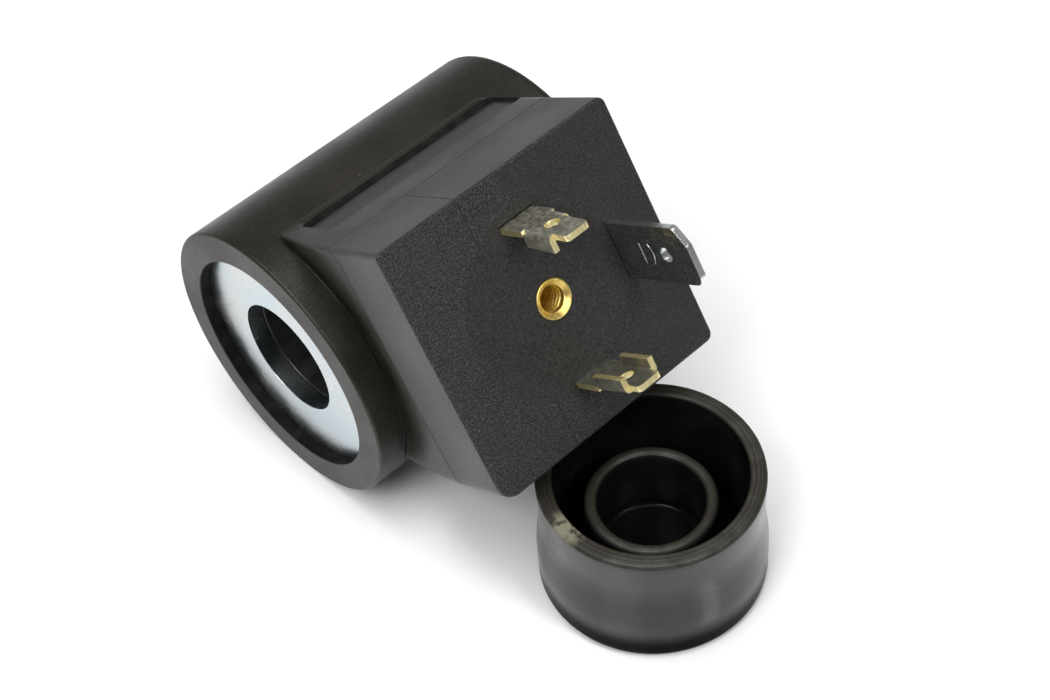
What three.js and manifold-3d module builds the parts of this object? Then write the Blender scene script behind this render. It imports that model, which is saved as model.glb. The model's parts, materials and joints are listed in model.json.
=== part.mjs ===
// Solenoid valve coil with a three-blade plug connector, lying on its side and leaning on its
// retaining cap, which stands open side up beside it.
//
// The coil is modelled in its own axes and then rolled over: X runs along the coil's bore, Z points
// out of the connector face, and the origin is on the bore's axis, level with the insert. The cap is
// modelled about its own upright axis. All sizes are in millimetres.

import * as THREE from 'three';
import { mergeVertices } from 'three/addons/utils/BufferGeometryUtils.js';
import Module from 'manifold-3d';

const wasm = await Module();
wasm.setup();

// ---- Driving dimensions --------------------------------------------------------------------

const GAP = 0.25;                    // left between pieces that touch on the real coil
const ROUND = 72;                    // facets around a large cylinder
const SMALL_ROUND = 32;              // facets around a small one

// Moulded body
const COIL_RADIUS = 16;
const NEAR_END = -16.85;             // the open end that shows its pole washer
const FAR_END = 19.9;
const END_LIP = 1.1;                 // thickness of the lip that holds each pole washer
const RECESS_RADIUS = 12.6;
const END_ROUNDING = 0.9;            // on the far rim
const NEAR_EDGE = 0.25;              // on the near rim
const CAVITY_RADIUS = 14.35;

// Connector block
const BLOCK_HALF_LENGTH = 14.44;     // along the bore
const BLOCK_HALF_WIDTH = 14;         // across the bore
const FACE_HEIGHT = 29.3;            // connector face above the bore's axis
const HEAD_THICKNESS = 7.8;          // of the connector head above the parting line
const BLOCK_CORNERS = { nearUp: 0.6, farUp: 0.9, farDown: 0.9, nearDown: 1.9 };
const LABEL_PANEL = { from: -11, to: 13.8, low: 10.4, high: 15.9, depth: 0.5 };

// Connector head below its plate
const PEDESTAL = { halfLength: 11.4, halfWidth: 11.2, bottom: 14.8 };
const WELL = { halfLength: 10.2, halfWidth: 9.9, top: 20.6 };
const INSERT_BOSS = { radius: 3.6, bottom: 17.5 };

// Magnet circuit and winding
const BORE_RADIUS = 6.5;
const WASHER_RADIUS = 14.05;
const WASHER_THICKNESS = 2;
const TUBE_INNER_RADIUS = 12.1;
const LEAD_WINDOW = { from: -8, to: 4, halfWidth: 5 };
const BOBBIN_WALL = 0.85;
const FLANGE_RADIUS = 11.75;
const FLANGE_THICKNESS = 1.1;
const WINDING_RADIUS = 11.05;
const TAPE_THICKNESS = 0.35;

// Terminals, after the usual 18 mm square industrial coil connector
const SHEET = 0.8;
const TAIL_END = 15.4;               // height at which every terminal's tail stops
const SHOULDER = 21.2;               // height at which a tail widens into its blade
const CONTACT = {
  offset: 9.15,                      // outer face of a contact blade from the insert's axis
  centre: 0.2,
  halfWidth: 2.1,
  reach: 9.4,                        // out of the connector face
  tipHalfWidth: 1.45,
  tipChamfer: 0.5,
  tailHalfWidth: 1,
  holeRadius: 0.8,
  holeReach: 5.7,
};
const WING = { start: 2.7, full: 4.6, end: 8.1, depth: 2.2 };
const EARTH = {
  offset: 8.6,                       // inner face of the earth blade from the insert's axis
  halfWidth: 3.15,
  reach: 11.4,
  tipChamfer: 1.15,
  tailHalfWidth: 1.6,
  holeRadius: 0.77,
  holeReach: 7.7,
};

// Threaded insert, M3
const INSERT = { radius: 2, threadRadius: 1.25, mouthRadius: 1.7, length: 10, floor: 1 };

// Wiring inside the head
const WIRE_RADIUS = 0.3;
const LEAD_START = { x: -4, y: 3, z: 11.65 };
const SLEEVE = { inner: 0.55, outer: 0.85, from: 12.2, to: 15 };
const SOLDER = { radius: 0.9, height: 18 };
const STRAP = { thickness: 0.5, halfWidth: 1.3, footFrom: 5, top: 19.5 };

// Retaining cap
const CAP_HEIGHT = 15.4;
const CAP_RIM_RADIUS = 11.45;
const CAP_BODY_RADIUS = 11.85;
const CAP_NECK_RADIUS = 11.2;
const CAP_MOUTH_RADIUS = 9.75;
const CAP_FLOOR = 2;
const CAP_BEAD = 1.5;                // rounding at the foot
const CAP_BOSS = { outer: 6.55, inner: 5.5, top: 10.9, floor: 2.8 };

// How the two lie together
const LEAN = THREE.MathUtils.degToRad(31.7);   // connector face's normal above the horizontal
const CAP_DISTANCE = 37.17;                    // cap's axis from the bore's axis, level

const PARTING = FACE_HEIGHT - HEAD_THICKNESS;

// ---- Solids --------------------------------------------------------------------------------

function toSolid(geometry) {
  const bare = geometry.index ? geometry.toNonIndexed() : geometry.clone();
  bare.deleteAttribute('normal');
  bare.deleteAttribute('uv');
  const welded = mergeVertices(bare, 1e-4);
  return new wasm.Manifold(new wasm.Mesh({
    numProp: 3,
    vertProperties: new Float32Array(welded.attributes.position.array),
    triVerts: new Uint32Array(welded.index.array),
  }));
}

function toGeometry(solid) {
  const mesh = solid.getMesh();
  const geometry = new THREE.BufferGeometry();
  geometry.setAttribute('position', new THREE.BufferAttribute(mesh.vertProperties, 3));
  geometry.setIndex(new THREE.BufferAttribute(mesh.triVerts, 1));
  geometry.computeVertexNormals();
  return geometry;
}

const cutFrom = (solid, ...tools) => tools.reduce((left, tool) => left.subtract(tool), solid);
const join = (solid, ...others) => others.reduce((whole, other) => whole.add(other), solid);

// A box between two corners.
function block(from, to) {
  const size = to.map((high, axis) => high - from[axis]);
  const geometry = new THREE.BoxGeometry(...size);
  return geometry.translate(...from.map((low, axis) => low + size[axis] / 2));
}

// A solid of revolution about +Z. The profile's [radius, height] points run anticlockwise.
function turned(profile, facets = ROUND) {
  const points = profile.map(([radius, height]) => new THREE.Vector2(radius, height));
  return new THREE.LatheGeometry(points, facets).rotateX(Math.PI / 2);
}

// The same about +X, its heights running along X.
const turnedAlongX = (profile, facets = ROUND) => turned(profile, facets).rotateY(Math.PI / 2);

// A ring between two radii, from one height to another.
function ring(inner, outer, from, to) {
  return [[inner, from], [outer, from], [outer, to], [inner, to], [inner, from]];
}

const rod = (radius, from, to) => [[0, from], [radius, from], [radius, to], [0, to]];

// A quarter circle about a centre, between two angles in degrees, as profile points.
function arc(radius, centreR, centreZ, fromDegrees, toDegrees, steps = 5) {
  return Array.from({ length: steps + 1 }, (_, step) => {
    const angle = THREE.MathUtils.degToRad(fromDegrees + (toDegrees - fromDegrees) * step / steps);
    return [centreR + radius * Math.cos(angle), centreZ + radius * Math.sin(angle)];
  });
}

// The connector block's outline, its four corners each with their own radius.
function blockOutline() {
  const { nearUp, farUp, farDown, nearDown } = BLOCK_CORNERS;
  const [x, y] = [BLOCK_HALF_LENGTH, BLOCK_HALF_WIDTH];
  const quarter = Math.PI / 2;
  return new THREE.Shape()
    .moveTo(-x + nearDown, -y)
    .absarc(x - farDown, -y + farDown, farDown, -quarter, 0)
    .absarc(x - farUp, y - farUp, farUp, 0, quarter)
    .absarc(-x + nearUp, y - nearUp, nearUp, quarter, 2 * quarter)
    .absarc(-x + nearDown, -y + nearDown, nearDown, 2 * quarter, 3 * quarter);
}

function blockBetween(from, to) {
  const settings = { depth: to - from, bevelEnabled: false, curveSegments: 6 };
  return new THREE.ExtrudeGeometry(blockOutline(), settings).translate(0, 0, from);
}

// A flat piece stamped from sheet: the outline's Y becomes height, its thickness runs along -Y.
function stamped(outline, thickness) {
  const settings = { depth: thickness, bevelEnabled: false, curveSegments: 12 };
  return new THREE.ExtrudeGeometry(outline, settings).rotateX(Math.PI / 2);
}

function hole(x, y, radius) {
  return new THREE.Path().absarc(x, y, radius, 0, 2 * Math.PI, true);
}

// ---- Moulded body --------------------------------------------------------------------------

// Barrel with a lipped recess at each end, and the block that rises to the parting line. Inside are
// the cavity that holds the magnet circuit and the pocket that takes the connector head's pedestal.
function coilEncapsulation() {
  const barrel = toSolid(turnedAlongX([
    [0, NEAR_END],
    [COIL_RADIUS - NEAR_EDGE, NEAR_END],
    [COIL_RADIUS, NEAR_END + NEAR_EDGE],
    ...arc(END_ROUNDING, COIL_RADIUS - END_ROUNDING, FAR_END - END_ROUNDING, 0, 90),
    [0, FAR_END],
  ]));
  const riser = toSolid(blockBetween(0, PARTING - GAP));
  const cavity = toSolid(turnedAlongX(rod(CAVITY_RADIUS, NEAR_END + END_LIP, FAR_END - END_LIP)));
  const recesses = toSolid(turnedAlongX(rod(RECESS_RADIUS, NEAR_END - 1, FAR_END + 1)));
  const { halfLength, halfWidth } = PEDESTAL;
  const pocket = toSolid(block(
    [-halfLength - GAP, -halfWidth - GAP, 9],
    [halfLength + GAP, halfWidth + GAP, PARTING + 1],
  ));
  const { from, to, low, high, depth } = LABEL_PANEL;
  const panel = toSolid(block(
    [from, BLOCK_HALF_WIDTH - depth, low],
    [to, BLOCK_HALF_WIDTH + 1, high],
  ));
  return cutFrom(join(barrel, riser), cavity, recesses, pocket, panel);
}

// Plate with the connector face, on a hollow pedestal. The blades pass through slots in the plate,
// and the threaded insert sits in a boss inside the pedestal's well.
function connectorHead() {
  const plate = toSolid(blockBetween(PARTING, FACE_HEIGHT));
  const { halfLength, halfWidth, bottom } = PEDESTAL;
  const pedestal = toSolid(block(
    [-halfLength, -halfWidth, bottom],
    [halfLength, halfWidth, PARTING + 0.5],
  ));
  const well = toSolid(block(
    [-WELL.halfLength, -WELL.halfWidth, bottom - 1],
    [WELL.halfLength, WELL.halfWidth, WELL.top],
  ));
  const boss = toSolid(turned(rod(INSERT_BOSS.radius, INSERT_BOSS.bottom, WELL.top + 0.5), SMALL_ROUND));
  const insertFoot = FACE_HEIGHT - INSERT.length;
  const insertHole = toSolid(
    turned(rod(INSERT.radius + GAP, insertFoot - GAP, FACE_HEIGHT + 1), SMALL_ROUND),
  );
  const contactSlots = [1, -1].map((side) => {
    const faces = [CONTACT.offset - SHEET - GAP, CONTACT.offset + GAP].map((y) => side * y);
    return toSolid(block(
      [CONTACT.centre - CONTACT.halfWidth - GAP, Math.min(...faces), WELL.top - 1],
      [CONTACT.centre + CONTACT.halfWidth + GAP, Math.max(...faces), FACE_HEIGHT + 1],
    ));
  });
  const earthSlot = toSolid(block(
    [EARTH.offset - GAP, -EARTH.halfWidth - GAP, WELL.top - 1],
    [EARTH.offset + SHEET + GAP, EARTH.halfWidth + GAP, FACE_HEIGHT + 1],
  ));
  const shell = join(cutFrom(join(plate, pedestal), well), boss);
  return cutFrom(shell, insertHole, earthSlot, ...contactSlots);
}

// ---- Terminals -----------------------------------------------------------------------------

// Outline of a blade with a narrower tail below its shoulder and chamfered corners at its tip.
function bladeOutline({ halfWidth, tipHalfWidth, tipFrom, tip, tipChamfer, tailHalfWidth }) {
  const side = [
    [tailHalfWidth, TAIL_END],
    [tailHalfWidth, SHOULDER],
    [halfWidth, SHOULDER],
    [halfWidth, tipFrom],
    [tipHalfWidth, tipFrom],
    [tipHalfWidth, tip - tipChamfer],
    [tipHalfWidth - tipChamfer, tip],
  ];
  const mirrored = side.map(([x, y]) => [-x, y]).reverse();
  return new THREE.Shape([...side, ...mirrored].map(([x, y]) => new THREE.Vector2(x, y)));
}

// Line or neutral blade, a channel with two wings folded towards the insert. It is built for the
// +Y side and turned half a turn about the insert's axis for the other.
function contactBlade(side) {
  const { offset, centre, halfWidth, tipHalfWidth, tipChamfer, tailHalfWidth } = CONTACT;
  const outline = bladeOutline({
    halfWidth,
    tipHalfWidth,
    tipFrom: FACE_HEIGHT + WING.end,
    tip: FACE_HEIGHT + CONTACT.reach,
    tipChamfer,
    tailHalfWidth,
  });
  outline.holes.push(hole(0, FACE_HEIGHT + CONTACT.holeReach, CONTACT.holeRadius));
  const sheet = toSolid(stamped(outline, SHEET).translate(0, offset, 0));
  const wings = [-halfWidth, halfWidth - SHEET].map((x) => {
    const profile = new THREE.Shape([
      [offset - SHEET / 2, WING.start],
      [offset - SHEET / 2, WING.end],
      [offset - WING.depth, WING.end],
      [offset - WING.depth, WING.full],
      [offset - SHEET, WING.start],
    ].map(([y, z]) => new THREE.Vector2(y, z)));
    const wing = new THREE.ExtrudeGeometry(profile, { depth: SHEET, bevelEnabled: false });
    wing.rotateX(Math.PI / 2).rotateZ(Math.PI / 2);
    return toSolid(wing.translate(x, 0, FACE_HEIGHT));
  });
  const blade = toGeometry(join(sheet, ...wings));
  if (side < 0) {
    blade.rotateZ(Math.PI);
  }
  return blade.translate(centre, 0, 0);
}

function earthTerminal() {
  const { offset, halfWidth, reach, tipChamfer, tailHalfWidth, holeRadius, holeReach } = EARTH;
  const tip = FACE_HEIGHT + reach;
  const outline = bladeOutline({
    halfWidth,
    tipHalfWidth: halfWidth,
    tipFrom: tip - 2 * tipChamfer,
    tip,
    tipChamfer,
    tailHalfWidth,
  });
  outline.holes.push(hole(0, FACE_HEIGHT + holeReach, holeRadius));
  return stamped(outline, SHEET).rotateZ(Math.PI / 2).translate(offset, 0, 0);
}

function threadedInsert() {
  const { radius, threadRadius, mouthRadius, length, floor } = INSERT;
  const foot = FACE_HEIGHT - length;
  return turned([
    [0, foot],
    [radius, foot],
    [radius, FACE_HEIGHT],
    [mouthRadius, FACE_HEIGHT],
    [threadRadius, FACE_HEIGHT - (mouthRadius - threadRadius)],
    [threadRadius, foot + floor],
    [0, foot + floor],
  ], SMALL_ROUND);
}

// ---- Magnet circuit and winding ------------------------------------------------------------

const nearWasher = {
  outside: NEAR_END + END_LIP + GAP,
  inside: NEAR_END + END_LIP + GAP + WASHER_THICKNESS,
};
const farWasher = {
  outside: FAR_END - END_LIP - GAP,
  inside: FAR_END - END_LIP - GAP - WASHER_THICKNESS,
};
const core = { from: nearWasher.inside + GAP, to: farWasher.inside - GAP };
const spool = { from: core.from + FLANGE_THICKNESS, to: core.to - FLANGE_THICKNESS };

function poleWasher(from, to) {
  return turnedAlongX(ring(BORE_RADIUS, WASHER_RADIUS, from, to));
}

// Steel tube round the winding, with a window under the connector head for the leads.
function fluxTube() {
  const tube = toSolid(turnedAlongX(ring(TUBE_INNER_RADIUS, WASHER_RADIUS, core.from, core.to)));
  const { from, to, halfWidth } = LEAD_WINDOW;
  const window = toSolid(block([from, -halfWidth, 9], [to, halfWidth, WASHER_RADIUS + 1]));
  return cutFrom(tube, window);
}

function bobbin() {
  const hub = BORE_RADIUS + BOBBIN_WALL;
  return turnedAlongX([
    [BORE_RADIUS, core.from],
    [FLANGE_RADIUS, core.from],
    [FLANGE_RADIUS, spool.from],
    [hub, spool.from],
    [hub, spool.to],
    [FLANGE_RADIUS, spool.to],
    [FLANGE_RADIUS, core.to],
    [BORE_RADIUS, core.to],
    [BORE_RADIUS, core.from],
  ]);
}

function winding() {
  const hub = BORE_RADIUS + BOBBIN_WALL;
  return turnedAlongX(ring(hub + GAP, WINDING_RADIUS, spool.from + GAP, spool.to - GAP));
}

function windingTape() {
  const inner = WINDING_RADIUS + GAP;
  return turnedAlongX(ring(inner, inner + TAPE_THICKNESS, spool.from + GAP, spool.to - GAP), 60);
}

// ---- Wiring --------------------------------------------------------------------------------

// Enamelled wire that rises from the winding and bends across to its terminal's tail.
function leadWire(side) {
  const { x, y, z } = LEAD_START;
  const joint = CONTACT.offset - SHEET - GAP - SOLDER.radius;
  const path = new THREE.CatmullRomCurve3([
    [x, y, z],
    [x, y, 15.3],
    [-3, 3.9, 17.1],
    [-1.3, 5.4, SOLDER.height],
    [CONTACT.centre, joint - GAP, SOLDER.height],
  ].map(([px, py, pz]) => new THREE.Vector3(px, side * py, pz)));
  const section = new THREE.Shape().absarc(0, 0, WIRE_RADIUS, 0, 2 * Math.PI);
  return new THREE.ExtrudeGeometry(section, { steps: 24, curveSegments: 4, extrudePath: path });
}

function leadSleeve(side) {
  const { inner, outer, from, to } = SLEEVE;
  return turned(ring(inner, outer, from, to), 16).translate(LEAD_START.x, side * LEAD_START.y, 0);
}

// Dome of solder on a tail's inner face, its flat side towards the tail.
function solderJoint(side) {
  const dome = turned([[0, 0], ...arc(SOLDER.radius, 0, 0, 0, 90, 6)], 16);
  const face = CONTACT.offset - SHEET - GAP;
  dome.rotateX(side * Math.PI / 2);
  return dome.translate(CONTACT.centre, side * face, SOLDER.height);
}

// Steel strip from the flux tube up to the earth terminal's tail.
function earthStrap() {
  const { thickness, halfWidth, footFrom, top } = STRAP;
  const back = EARTH.offset - GAP;
  const floor = WASHER_RADIUS + GAP;
  const profile = new THREE.Shape([
    [footFrom, floor],
    [back, floor],
    [back, top],
    [back - thickness, top],
    [back - thickness, floor + thickness],
    [footFrom, floor + thickness],
  ].map(([x, z]) => new THREE.Vector2(x, z)));
  return stamped(profile, 2 * halfWidth).translate(0, halfWidth, 0);
}

// ---- Retaining cap -------------------------------------------------------------------------

// Round cup on its closed end, with a hollow boss standing from its floor.
function retainingCap() {
  return turned([
    [0, 0],
    ...arc(CAP_BEAD, CAP_BODY_RADIUS - CAP_BEAD, CAP_BEAD, -90, 0),
    [CAP_BODY_RADIUS, 5],
    [CAP_NECK_RADIUS + 0.15, 11.6],
    [CAP_NECK_RADIUS, 12.6],
    [CAP_RIM_RADIUS, 13.1],
    [CAP_RIM_RADIUS, CAP_HEIGHT - 0.4],
    [CAP_RIM_RADIUS - 0.4, CAP_HEIGHT],
    [CAP_MOUTH_RADIUS + 0.4, CAP_HEIGHT],
    [CAP_MOUTH_RADIUS, CAP_HEIGHT - 0.5],
    [CAP_MOUTH_RADIUS - 0.2, CAP_FLOOR],
    [CAP_BOSS.outer + 0.1, CAP_FLOOR],
    [CAP_BOSS.outer, CAP_BOSS.top - 0.3],
    [CAP_BOSS.outer - 0.3, CAP_BOSS.top],
    [CAP_BOSS.inner + 0.3, CAP_BOSS.top],
    [CAP_BOSS.inner, CAP_BOSS.top - 0.3],
    [CAP_BOSS.inner, CAP_BOSS.floor],
    [0, CAP_BOSS.floor],
  ]);
}

// ---- Assembly ------------------------------------------------------------------------------

const materials = {
  mouldedBlack: { color: 0x1c1b1c, roughness: 0.55, metalness: 0 },
  headBlack: { color: 0x232223, roughness: 0.7, metalness: 0 },
  capBlack: { color: 0x141314, roughness: 0.25, metalness: 0 },
  zincPlated: { color: 0xcfd8de, roughness: 0.4, metalness: 0.9 },
  steel: { color: 0x8c8f92, roughness: 0.45, metalness: 0.9 },
  nylon: { color: 0x26292b, roughness: 0.5, metalness: 0 },
  copper: { color: 0xb4602c, roughness: 0.35, metalness: 0.9 },
  tape: { color: 0xc79a3a, roughness: 0.4, metalness: 0 },
  tinnedBrass: { color: 0xa8a48f, roughness: 0.35, metalness: 0.9 },
  brass: { color: 0xd8b23c, roughness: 0.25, metalness: 1 },
  solder: { color: 0xb9bcc0, roughness: 0.3, metalness: 1 },
  sleeving: { color: 0xd9d3c0, roughness: 0.7, metalness: 0 },
};

function named(name, shape, material) {
  const geometry = shape.isBufferGeometry ? shape : toGeometry(shape);
  const mesh = new THREE.Mesh(geometry, new THREE.MeshStandardMaterial(materials[material]));
  mesh.name = name;
  return mesh;
}

const coil = new THREE.Group();
coil.add(
  named('coil_encapsulation', coilEncapsulation(), 'mouldedBlack'),
  named('connector_head', connectorHead(), 'headBlack'),
  named('near_pole_washer', poleWasher(nearWasher.outside, nearWasher.inside), 'zincPlated'),
  named('far_pole_washer', poleWasher(farWasher.inside, farWasher.outside), 'zincPlated'),
  named('flux_tube', fluxTube(), 'steel'),
  named('bobbin', bobbin(), 'nylon'),
  named('winding', winding(), 'copper'),
  named('winding_tape', windingTape(), 'tape'),
  named('earth_terminal', earthTerminal(), 'zincPlated'),
  named('earth_strap', earthStrap(), 'steel'),
  named('threaded_insert', threadedInsert(), 'brass'),
);
for (const [label, side] of [['upper', 1], ['lower', -1]]) {
  coil.add(
    named(`${label}_contact_terminal`, contactBlade(side), 'tinnedBrass'),
    named(`${label}_lead_wire`, leadWire(side), 'copper'),
    named(`${label}_lead_sleeve`, leadSleeve(side), 'sleeving'),
    named(`${label}_solder_joint`, solderJoint(side), 'solder'),
  );
}
coil.rotation.x = Math.PI / 2 - LEAN;
coil.position.z = COIL_RADIUS;

const cap = named('retaining_cap', retainingCap(), 'capBlack');
cap.position.y = -CAP_DISTANCE;

// The origin is on the surface that the pieces rest on, under the middle of the whole set.
const part = new THREE.Group();
part.add(coil, cap);
part.position.x = -(NEAR_END + FAR_END) / 2;
part.position.y = (CAP_DISTANCE + CAP_BODY_RADIUS - COIL_RADIUS) / 2;

export default part;
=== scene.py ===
"""Looks of a solenoid valve coil that lies on its side and leans on its retaining cap.

The coil's pieces are modelled in millimetres in the coil's own axes and then laid into the row
frame: X runs along the bore, Z points out of the connector face, and the origin is on the bore's
axis. The cap is modelled about its own upright axis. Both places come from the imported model.
"""

import json
import math

import bmesh
import bpy
from mathutils import Matrix, Vector
from mathutils.geometry import delaunay_2d_cdt


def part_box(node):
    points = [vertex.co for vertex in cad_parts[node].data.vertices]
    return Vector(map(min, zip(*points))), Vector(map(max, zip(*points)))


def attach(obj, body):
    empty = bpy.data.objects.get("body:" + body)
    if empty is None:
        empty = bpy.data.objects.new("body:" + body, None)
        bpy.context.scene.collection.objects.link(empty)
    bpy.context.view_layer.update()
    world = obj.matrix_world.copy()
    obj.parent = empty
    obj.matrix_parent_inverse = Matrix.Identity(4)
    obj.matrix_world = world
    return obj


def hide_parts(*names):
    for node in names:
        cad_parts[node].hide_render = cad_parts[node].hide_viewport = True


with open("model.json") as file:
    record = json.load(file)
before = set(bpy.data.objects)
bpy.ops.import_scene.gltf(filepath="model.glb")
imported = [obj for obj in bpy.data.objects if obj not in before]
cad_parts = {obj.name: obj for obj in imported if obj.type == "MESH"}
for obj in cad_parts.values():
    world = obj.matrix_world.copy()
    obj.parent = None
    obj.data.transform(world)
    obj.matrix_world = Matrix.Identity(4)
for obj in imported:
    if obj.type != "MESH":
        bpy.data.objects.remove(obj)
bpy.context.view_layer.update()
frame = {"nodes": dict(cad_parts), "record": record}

MM = 0.001

# ---- Driving dimensions, in millimetres ----

COIL_RADIUS = 16.0
NEAR_END = -16.85
FAR_END = 19.9
RECESS_RADIUS = 12.6
CAVITY_RADIUS = 14.35
NEAR_EDGE = 0.3                 # rounding of the barrel's near rim
FAR_EDGE = 0.9
MOUTH_EDGE = 0.18               # rounding where a recess opens
RECESS_DEPTH = 1.35             # from a rim down to its pole washer
WASHER_THICKNESS = 2.0
WASHER_RADIUS = 14.05
BORE_RADIUS = 6.5

BLOCK_HALF_LENGTH = 14.44
BLOCK_HALF_WIDTH = 14.0
FACE_HEIGHT = 29.3
PARTING = 21.5                  # height of the line between the head and the body below it
PARTING_DROP = 1.3              # the line runs this much lower along the upper side
PARTING_CHAMFER = 0.05
PARTING_INSET = 2.0             # the two mouldings meet on a flat drawn in by this much
HAIRLINE = 0.04                 # gap left between the two mouldings
CORNERS = {"near_up": 0.6, "far_up": 0.9, "far_down": 0.9, "near_down": 1.9}
NEAR_TAPER = 1.24               # the near wall draws in by this much on its way to the barrel
NEAR_FILLET = 0.35
NEAR_GROOVE = 0.35              # depth of the groove between the collar and the near wall
SIDE_FILLET = 1.0

PANEL = {"from": -11.0, "to": 13.8, "low": 10.4, "high": 15.9, "depth": 0.5}
DISC_RADIUS = 9.7               # smoother round area in the middle of the connector face
DISC_DEPTH = 0.1
DISC_SLOPE = 0.35
PEDESTAL = (11.4, 11.2)
POCKET_CLEARANCE = 0.25
PEDESTAL_BOTTOM = 14.8
WELL = (10.2, 9.9)
WELL_TOP = 20.6

CONTACT_SHEET = 0.62
CONTACT_OFFSET = 9.15
CONTACT_CENTRE = 0.2
CONTACT_HALF_WIDTH = 2.1
CONTACT_REACH = 9.4
CONTACT_TIP_HALF_WIDTH = 1.4
WING_START = 3.4                # height above the face where the wings begin
EARTH_OFFSET = 8.6
EARTH_HALF_WIDTH = 3.15
EARTH_REACH = 11.4
EARTH_SHEET = 0.7
SLOT_CLEARANCE = 0.04
TAIL_END = 15.4
SHOULDER = 21.2                 # height at which a tail widens into its blade

INSERT_RADIUS = 2.06
INSERT_LENGTH = 10.0
INSERT_BOSS = (3.6, 17.5)       # radius and foot of the plastic round the insert

OVERSHOOT = 1.0                 # how far a cutting shape goes past the surface it opens

ROUND = 144                     # facets round a large cylinder
FINE = 64                       # facets round a small one


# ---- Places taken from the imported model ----

def coil_frame():
    """From the coil's own axes, in millimetres, to the row frame, in metres."""
    low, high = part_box("near_pole_washer")
    washer_face = NEAR_END + RECESS_DEPTH
    origin = Vector((low.x - washer_face * MM, (low.y + high.y) / 2, (low.z + high.z) / 2))
    face = next(m for m in frame["record"]["mounts"] if m["name"] == "connector_face")
    roll = math.atan2(-face["axis"][1], face["axis"][2])
    return Matrix.Translation(origin) @ Matrix.Rotation(roll, 4, "X") @ Matrix.Scale(MM, 4)


def cap_frame():
    """From the cap's upright axis, in millimetres, to the row frame, in metres."""
    low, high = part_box("retaining_cap")
    foot = Vector(((low.x + high.x) / 2, (low.y + high.y) / 2, low.z))
    return Matrix.Translation(foot) @ Matrix.Scale(MM, 4)


COIL = coil_frame()
CAP = cap_frame()
PLACES = {"coil": COIL, "cap": CAP}


# ---- Shapes as lists of points and faces ----

def rounded(points, radii, steps=5, closed=True):
    """A 2-D outline with its corners rounded. radii is one number or one for each corner."""
    count = len(points)
    radii = radii if hasattr(radii, "__len__") else [radii] * count
    result = []
    for index, (point, radius) in enumerate(zip(points, radii)):
        corner = Vector(point)
        if radius <= 0 or (not closed and index in (0, count - 1)):
            result.append(tuple(corner))
            continue
        back = Vector(points[index - 1]) - corner
        ahead = Vector(points[(index + 1) % count]) - corner
        half = back.angle(ahead) / 2
        cut = min(radius / math.tan(half), 0.49 * back.length, 0.49 * ahead.length)
        true_radius = cut * math.tan(half)
        back.normalize()
        ahead.normalize()
        centre = corner + (back + ahead).normalized() * (true_radius / math.sin(half))
        start = corner + back * cut - centre
        turn = math.copysign(math.pi - 2 * half, start.cross(corner + ahead * cut - centre))
        for step in range(steps + 1):
            angle = turn * step / steps
            cosine, sine = math.cos(angle), math.sin(angle)
            spoke = Vector((start.x * cosine - start.y * sine, start.x * sine + start.y * cosine))
            result.append(tuple(centre + spoke))
    return result


def loft(loops, closed_ends=True):
    """Quads between loops of equal length, with a flat face at each end."""
    count = len(loops[0])
    points = [point for loop in loops for point in loop]
    faces = []
    for level in range(len(loops) - 1):
        for index in range(count):
            after = (index + 1) % count
            low, high = level * count, (level + 1) * count
            faces.append((low + index, low + after, high + after, high + index))
    if closed_ends:
        faces.append(tuple(reversed(range(count))))
        faces.append(tuple((len(loops) - 1) * count + index for index in range(count)))
    return points, faces


def turned(profile, facets=ROUND, ring=True):
    """A solid of revolution about Z from [radius, height] points, a ring or closed at its axis."""
    points, faces, rows = [], [], []
    for radius, height in profile:
        rows.append(len(points))
        if radius < 1e-6:
            points.append((0, 0, height))
            continue
        for index in range(facets):
            angle = 2 * math.pi * index / facets
            points.append((radius * math.cos(angle), radius * math.sin(angle), height))
    pairs = list(zip(range(len(profile)), range(1, len(profile))))
    if ring:
        pairs.append((len(profile) - 1, 0))
    for first, second in pairs:
        start, end = rows[first], rows[second]
        for index in range(facets):
            after = (index + 1) % facets
            if profile[first][0] < 1e-6:
                faces.append((start, end + after, end + index))
            elif profile[second][0] < 1e-6:
                faces.append((start + index, start + after, end))
            else:
                faces.append((start + index, start + after, end + after, end + index))
    return points, faces


def rod(radius, low, high, facets=40):
    return turned([(0, low), (radius, low), (radius, high), (0, high)], facets, False)


def along_x(shape):
    """The same shape with its Z axis laid along X."""
    points, faces = shape
    return [(z, x, y) for x, y, z in points], faces


def along_y(shape):
    """The same shape with its Z axis laid along Y."""
    points, faces = shape
    return [(x, z, y) for x, y, z in points], faces


def moved(shape, x, y, z):
    points, faces = shape
    return [(px + x, py + y, pz + z) for px, py, pz in points], faces


def box(low, high):
    (x0, y0, z0), (x1, y1, z1) = low, high
    outline = [(x0, y0), (x1, y0), (x1, y1), (x0, y1)]
    return loft([[(x, y, z) for x, y in outline] for z in (z0, z1)])


def ring_profile(inner, outer, low, high, edge):
    return rounded([(inner, low), (outer, low), (outer, high), (inner, high)], edge, 3)


# ---- Objects ----

def raw_object(name, shape):
    """An object in millimetres, with its faces turned outwards."""
    points, faces = shape
    mesh = bpy.data.meshes.new(name)
    mesh.from_pydata([tuple(p) for p in points], [], faces)
    work = bmesh.new()
    work.from_mesh(mesh)
    bmesh.ops.remove_doubles(work, verts=work.verts, dist=1e-3)
    bmesh.ops.recalc_face_normals(work, faces=work.faces)
    work.to_mesh(mesh)
    work.free()
    piece = bpy.data.objects.new(name, mesh)
    bpy.context.scene.collection.objects.link(piece)
    return piece


def settle(piece):
    """Applies a piece's modifiers."""
    bpy.context.view_layer.update()
    graph = bpy.context.evaluated_depsgraph_get()
    mesh = bpy.data.meshes.new_from_object(piece.evaluated_get(graph))
    piece.modifiers.clear()
    piece.data = mesh
    return piece


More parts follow.
